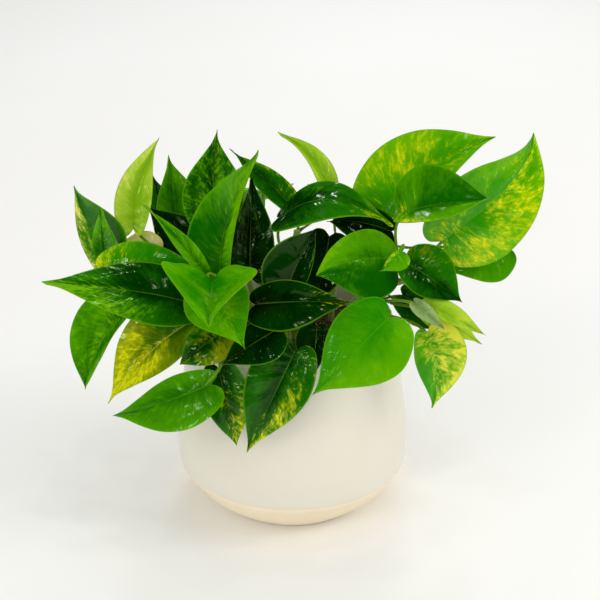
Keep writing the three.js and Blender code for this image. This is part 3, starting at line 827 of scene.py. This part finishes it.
def stalk_radius(share):
    """The radius at a share of the stalk's length, in millimetres; it thins out inside the midrib."""
    clasp = CLASP * math.exp(-((share / CLASP_REACH) ** 2))
    knee = KNEE * math.exp(-(((share - KNEE_PLACE) / KNEE_REACH) ** 2))
    end = 1 - STALK_THINS * max(0, share - STALK_ENDS) / (1 - STALK_ENDS)
    return (STALK_RADIUS + clasp + knee) * end


# %% [markdown]
# The leaf's colour is what makes this plant: green blades splashed with yellow and cream. The splashes
# run along the side veins, ragged at their edges, and no two leaves are alike. They could be painted by
# hand, but then each leaf needs an image. Noise stretched along the veins makes them instead: where it
# passes a level, the pale colour shows. Each leaf has its own ground, which runs from a dark to a light
# green, its own splash colour, the share that is splashed, and a lean of the splashes towards the tip or
# towards one side.

# %% Leaf colours
GROUNDS = {
    # The shade ground is painted shade: its near-black green stands in for the shadow that the leaves
    # around them cast on the inner leaves.
    "shade": (paint(0, 22, 0), paint(6, 52, 0)),
    "deep": (paint(4, 50, 0), paint(34, 106, 2)),
    "leaf": (paint(18, 92, 0), paint(78, 152, 4)),
    "clear": (paint(28, 124, 0), paint(86, 160, 2)),
    "fresh": (paint(50, 142, 0), paint(108, 176, 6)),
    "olive": (paint(50, 100, 4), paint(140, 154, 8)),
    # The lime ground is partly the blades' own lime colour and partly painted light shining through backlit
    # blades.
    "lime": (paint(122, 170, 20), paint(168, 204, 56)),
    "cream": (paint(222, 200, 140), paint(240, 224, 176)),
    "grey": (paint(100, 128, 66), paint(150, 172, 116)),
}
SPLASHES = {
    "pale": paint(104, 170, 10),
    "moss": paint(128, 138, 12),
    "yellow": paint(212, 217, 22),
    "cream": paint(228, 224, 108),
    "butter": paint(216, 218, 66),
}
RIB_GREEN = paint(104, 158, 30)
RIB_GOLD = paint(214, 186, 40)
STALK_GREEN = paint(98, 142, 28)
UNDER_GREEN = paint(104, 146, 42)

# %% Leaf finish
# The size of each kind of mark, in millimetres across and along the blade.
CLOUD_SIZE = (22, 22)
STREAK_SIZE = (11, 2.6)
FLECK_SIZE = (3, 1.2)
RIDGE_SIZE = (34, 5)
RIB_WIDTH = 0.25
MARGIN = 0.94
# On a calm leaf the change from the dark to the light ground is softer.
CALM = {"heart", "low_left", "right_under"}
CALM_BY = 0.1
GOLD_RIBS = {"left_gold"}
LEAF_TINT = paint(232, 255, 190)


def leaf_finish(name, ground, splash, cover, to_tip, to_left, seed):
    """cover sets how much of the blade is splashed; to_tip and to_left lean the splashes and the ground
    that way. On some leaves that lean of the ground is painted shade and painted light.
    """
    base, tip, _, width, *_ = LEAVES[name]
    half = sum(width) / 4
    finish = Finish(f"leaf_{name}")
    t, v, under, stalk = map(finish.attribute, ("along", "across", "underside", "stalk"))
    out = abs(v)
    sideways = v * half
    lengthwise = t * (Vector(tip) - Vector(base)).length

    def marks(size, detail, roughness, distortion, further):
        place = finish.vector(sideways * (1 / size[0]), lengthwise * (1 / size[1]), 0)
        return finish.noise(place, 1, detail, roughness, distortion, seed + further)

    cloud = marks(CLOUD_SIZE, 2, 0.5, 0.4, 0)
    streak = marks(STREAK_SIZE, 4, 0.6, 0.7, 20)
    fleck = marks(FLECK_SIZE, 2, 0.5, 0, 40)
    ridges = marks(RIDGE_SIZE, 2, 0.4, 0.2, 60)
    # On some leaves the lean paints shade on one half of the blade and light on the other.
    lean = (t - 0.5) * to_tip + v * (0.5 * to_left)
    dark, light = GROUNDS[ground]
    shade = cloud * 0.6 + streak * 0.26 + fleck * 0.14 + lean * 0.35 + out * 0.16 - 0.05
    calm = CALM_BY if name in CALM else 0
    colour = finish.mix(finish.step(shade, 0.38 - calm, 0.68 + calm), dark, light)
    field = cloud * 0.4 + streak * 0.38 + fleck * 0.22 + lean * 0.32
    level = 0.5 + (0.5 - cover) * 0.3
    halo = finish.step(field, level - 0.08, level + 0.01) * 0.45
    colour = finish.mix(halo, colour, SPLASHES[splash])
    colour = finish.mix(finish.step(field, level, level + 0.035), colour, SPLASHES[splash])
    colour = finish.mix(finish.step(fleck, 0.67, 0.72) * 0.5, colour, SPLASHES["pale"])
    rib = 1 - finish.step(out * half, RIB_WIDTH, RIB_WIDTH + 0.012 * half)
    rib_colour, rib_strength = (RIB_GOLD, 0.6) if name in GOLD_RIBS else (RIB_GREEN, 0.26)
    colour = finish.mix(rib * (1 - finish.step(t, 0.5, 0.95)) * rib_strength, colour, rib_colour)
    margin = finish.step(out, MARGIN, MARGIN + 0.04) * 0.4
    colour = finish.mix(margin, colour, SPLASHES["pale"])
    colour = finish.mix(under * 0.55, colour, UNDER_GREEN)
    colour = finish.mix(stalk, colour, STALK_GREEN)
    finish.set(Base_Color=colour, Roughness=0.09 + 0.07 * streak + 0.4 * under)
    finish.set(Specular_IOR_Level=0.28, Specular_Tint=LEAF_TINT)
    beat = abs(finish.sum("SINE", (t + out * VEIN_LEAD) * (math.pi * SIDE_VEINS)))
    pucker = finish.noise(finish.place(), 120, 1, 0.4, 0, seed)
    finish.bump(ridges * 1.2 + pucker * 0.1 + fleck * 0.1 + 0.07 * beat, 0.85, 0.9 * MM)
    return finish


# %% [markdown]
# Each leaf's look was set against the photograph: its ground, its splash colour, how much is
# splashed, and how the splashes lean to the tip and to the left. Left is the left side seen from the
# stalk with the face up. A share below 0 leaves only what the lean adds.

# %% Looks of the leaves
# Leaves on the shade ground are painted shade: behind_tall, centre_dark, bright_tip, round_dark and the
# inner leaves.
LOOKS = {
    "far_left": ("deep", "pale", 0.08, 1.6, 0.5),
    "left_fold": ("leaf", "pale", 0.25, 0, 0.2),
    "left_gold": ("olive", "yellow", 0.22, 1.1, -0.1),
    "low_left": ("leaf", "pale", 0.12, 0.3, 0.2),
    "mottled": ("deep", "moss", 0.36, -0.1, 0.1),
    "yellow_roof": ("clear", "yellow", 0.3, -0.7, 0),
    "left_up": ("leaf", "cream", 0.14, -0.1, 0.5),
    "left_small": ("leaf", "pale", 0.25, 0.1, 0),
    "cream_back": ("cream", "cream", 0.5, 0, 0),
    "lime_up": ("lime", "cream", 0.14, 0.1, 0.1),
    "diag": ("leaf", "pale", 0.2, 0.3, 0),
    "back_dark_a": ("leaf", "pale", 0.1, 0.2, 0),
    "back_dark_b": ("deep", "pale", 0.1, 0.1, 0),
    "scoop": ("clear", "pale", 0.16, 0.6, 0.4),
    "below_scoop": ("clear", "pale", 0.2, 0.5, 0),
    # tall leans lighter to its right half: a painted sheen along the fold.
    "tall": ("leaf", "pale", 0.2, 0.9, -0.7),
    "behind_tall": ("shade", "pale", 0.08, 0, 0),
    "top_spike": ("deep", "pale", 0.3, 0.2, 0.2),
    "top_diag": ("deep", "yellow", 0.06, 0.2, -0.5),
    "top_lime": ("lime", "cream", 0.1, 0.2, 0),
    "roof_centre": ("deep", "yellow", -0.2, 1.3, -0.2),
    "centre_dark": ("shade", "pale", -0.2, 0, 0),
    "bright_tip": ("shade", "yellow", -0.12, 0.9, -0.1),
    # centre_broad's lower half is darkened by its lean: painted shade.
    "centre_broad": ("leaf", "pale", -0.2, 0.5, -1.4),
    # heart's lower right half leans lighter: painted light shining through the blade.
    "heart": ("clear", "pale", -0.2, 0.3, 1.1),
    "two_tone": ("fresh", "butter", 0.34, -0.5, 0.7),
    "right_big": ("fresh", "yellow", 0.24, -0.1, -0.4),
    "right_dark": ("leaf", "yellow", -0.04, -0.7, -0.5),
    "right_back": ("fresh", "yellow", 0.2, 0.1, 0.1),
    "right_under": ("clear", "pale", 0.2, 0.2, 0),
    "olive_long": ("deep", "moss", 0, -0.7, 0.3),
    "lime_low": ("lime", "yellow", 0.1, 0, 0),
    "right_small": ("lime", "yellow", 0.08, 0.4, 0),
    "hook": ("clear", "yellow", 0.08, 0.1, 0),
    "grey_under": ("grey", "pale", 0.2, 0, 0),
    "dark_under": ("deep", "pale", 0.1, 0, 0),
    "stripe_low": ("deep", "yellow", 0.06, 0.5, 0.35),
    "narrow_low": ("deep", "yellow", 0.12, 0.5, 0.3),
    "round_dark": ("shade", "pale", -0.2, 0, 0),
    "inner_right": ("shade", "pale", -0.1, 0, 0),
    "inner_left": ("shade", "pale", -0.1, 0, 0),
    "inner_mid": ("shade", "pale", -0.1, 0, 0),
    "inner_top": ("shade", "pale", 0, 0, 0),
    "back_left": ("leaf", "yellow", 0.18, 0.2, 0.3),
    "back_mid_left": ("fresh", "yellow", 0.24, 0.1, -0.2),
    "back_mid_right": ("deep", "pale", 0.2, 0.3, 0),
    "back_right": ("leaf", "cream", 0.16, 0.2, -0.3),
    "back_far_left": ("leaf", "pale", 0.2, 0.2, 0.2),
    "back_low_left": ("deep", "yellow", 0.2, 0.3, 0.1),
    "back_low_right": ("leaf", "yellow", 0.12, 0.4, 0),
}

# %% The fifty leaves
def leaf_piece(name, seed):
    leaf = LEAVES[name]
    midrib, up = midrib_of(leaf)
    bm = bmesh.new()
    for key in ("along", "across", "underside", "stalk"):
        bm.verts.layers.float.new(key)
    blade(bm, leaf, midrib, up, seed)
    line = stalk_line(name, midrib, up)
    radii = [stalk_radius(k / (len(line) - 1)) for k in range(len(line))]
    for vert in rod(bm, line, radii, STALK_SIDES):
        vert[bm.verts.layers.float["stalk"]] = 1
    finish = leaf_finish(name, *LOOKS[name], seed)
    return piece_from(bm, f"pothos_leaf_{name}", finish, f"leaf_{name}")


leaves = [leaf_piece(name, seed) for seed, name in enumerate(LEAVES)]
print("leaves:", len(leaves), "faces:", sum(len(leaf.data.polygons) for leaf in leaves))

# %% [markdown]
# The plant stands on a plain pale table. It belongs to the picture and not to the plant, so it is a
# stage: one flat sheet, so wide that its far edge lies above the photograph's frame.

# %% Table
TABLE_REACH = 30
PALE_TABLE = paint(247, 246, 244)
DARKER_TABLE = paint(243, 242, 239)
table_finish = Finish("pale_table")
place = table_finish.place()
cloud = table_finish.noise(place, 3, 2)
table_finish.set(Base_Color=table_finish.mix(cloud, DARKER_TABLE, PALE_TABLE))
table_finish.set(Roughness=0.6 + 0.05 * table_finish.noise(place, 40, 2))
table_bm = bmesh.new()
bmesh.ops.create_grid(table_bm, x_segments=8, y_segments=8, size=TABLE_REACH)
table = object_from(table_bm, "table_top", table_finish)
print("table faces:", len(table.data.polygons))

# %% [markdown]
# A glossy leaf is a small mirror. A bright room all round would lay a grey veil over every dark leaf, so
# the room and the broad lamps give light but aren't mirrored. The leaves mirror only a few small panes,
# and those are the crisp white glints of the photograph. A lamp's place, its aim and its size are in
# metres.

# %% Light
world = bpy.data.worlds.new("soft_room")
bpy.context.scene.world = world
world.use_nodes = True
room = world.node_tree.nodes["Background"].inputs
room["Color"].default_value = paint(252, 252, 250)
room["Strength"].default_value = 0.7
world.cycles_visibility.glossy = False
PLANT_MIDDLE = (0, 0, 0.15)
TABLE_FRONT = (0, -0.2, 0)
TABLE_BACK = (0.2, 1.8, 0)
WARM = paint(255, 253, 248)
COOL = paint(249, 251, 255)
PANE_SIZE = (0.09, 0.09)
PANE_POWER = 1.4
PANES = [
    (0.1, 1.6, 1.6), (-0.45, 1.55, 1.75), (0, 0, 2.3), (0.35, -0.45, 2.2), (1.25, -0.95, 1.75),
    (-1.05, -1.6, 1.35), (-0.25, -1.95, 1.0), (-0.5, -1.9, 0.65),
]


def lamp(name, spot, aim, size, power, colour, mirrored):
    light = bpy.data.lights.new(name, "AREA")
    light.shape = "RECTANGLE"
    light.size, light.size_y = size
    light.energy = power
    light.color = colour[:3]
    holder = bpy.data.objects.new(name, light)
    holder.location = spot
    holder.rotation_euler = (Vector(aim) - Vector(spot)).to_track_quat("-Z", "Y").to_euler()
    holder.visible_glossy = mirrored
    bpy.context.scene.collection.objects.link(holder)


lamp("window_right", (1.8, -0.4, 1.2), PLANT_MIDDLE, (1, 1), power=12, colour=WARM, mirrored=False)
lamp("fill_left", (-1.2, -1.7, 1.4), TABLE_FRONT, (1.6, 1.2), power=11, colour=WARM, mirrored=False)
lamp("light_back", (0.4, 2.2, 1.9), TABLE_BACK, (1.2, 0.8), power=15, colour=COOL, mirrored=False)
for number, spot in enumerate(PANES):
    lamp(f"pane_{number}", spot, PLANT_MIDDLE, PANE_SIZE, PANE_POWER, COOL, mirrored=True)

# %% [markdown]
# The camera looks down on the plant by about a quarter of a right angle, from a little under a metre
# away. A long lens keeps the pot's sides nearly upright, as in the photograph.

# %% Camera
AIM = Vector((6, 0, 161)) * MM
DISTANCE = 896 * MM
TILT = math.radians(24.5)
camera_data = bpy.data.cameras.new("camera")
camera_data.sensor_width = 36
camera_data.lens = 72
camera = bpy.data.objects.new("camera", camera_data)
camera.location = AIM + DISTANCE * Vector((0, -math.cos(TILT), math.sin(TILT)))
camera.rotation_euler = (math.pi / 2 - TILT, 0, 0)
bpy.context.scene.collection.objects.link(camera)
bpy.context.scene.camera = camera
bpy.context.scene.view_settings.view_transform = "Standard"
print("camera stands at:", [round(c, 3) for c in camera.location])
